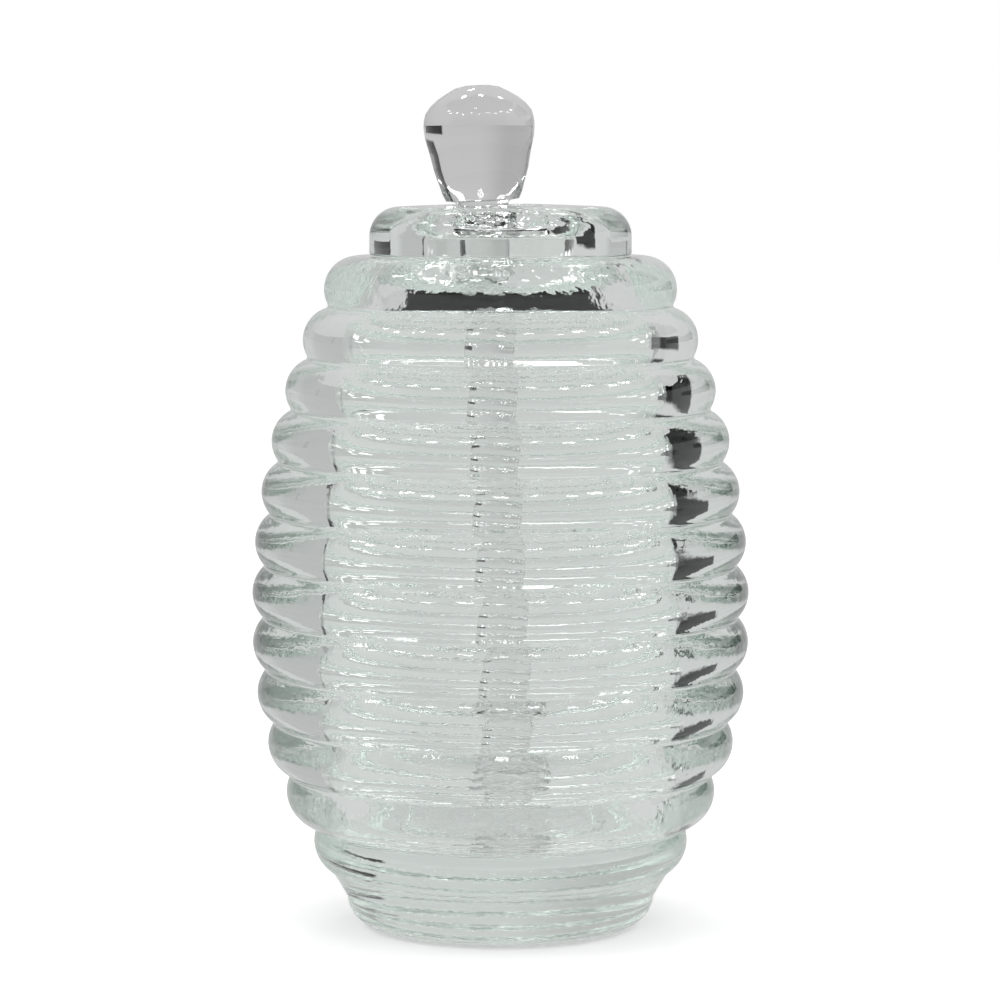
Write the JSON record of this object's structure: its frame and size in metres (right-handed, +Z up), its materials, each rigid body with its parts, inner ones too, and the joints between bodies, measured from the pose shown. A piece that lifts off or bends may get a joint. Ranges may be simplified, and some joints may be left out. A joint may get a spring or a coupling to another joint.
{
  "type": "honey pot",
  "caption": "Ringed beehive honey pot in thick clear glass, with a loose round lid and a glass dipper whose knob stands above a hole in the lid.",
  "frame": {"origin": "middle of the foot, on the surface that the pot stands on", "axes": "+Z up through the pot, -Y towards the viewer of the picture, the dipper leans to -X"},
  "size_m": [0.09, 0.0898, 0.1518],
  "materials": {
    "tinted_glass": "smooth pressed glass, very pale green",
    "clear_glass": "smooth clear glass, neutral"
  },
  "bodies": {
    "pot": {"pot_body": "tinted_glass"},
    "lid": {"lid": "tinted_glass"},
    "dipper": {"dipper": "clear_glass"}
  },
  "joints": [
    {"name": "lid_lift", "type": "slide", "parent": "pot", "child": "lid", "axis": [0, 0, 1], "range_m": [0, 0.11]},
    {"name": "dipper_lift", "type": "slide", "parent": "lid", "child": "dipper", "axis": [-0.0193, 0, 0.9998], "range_m": [0, 0.12]}
  ]
}
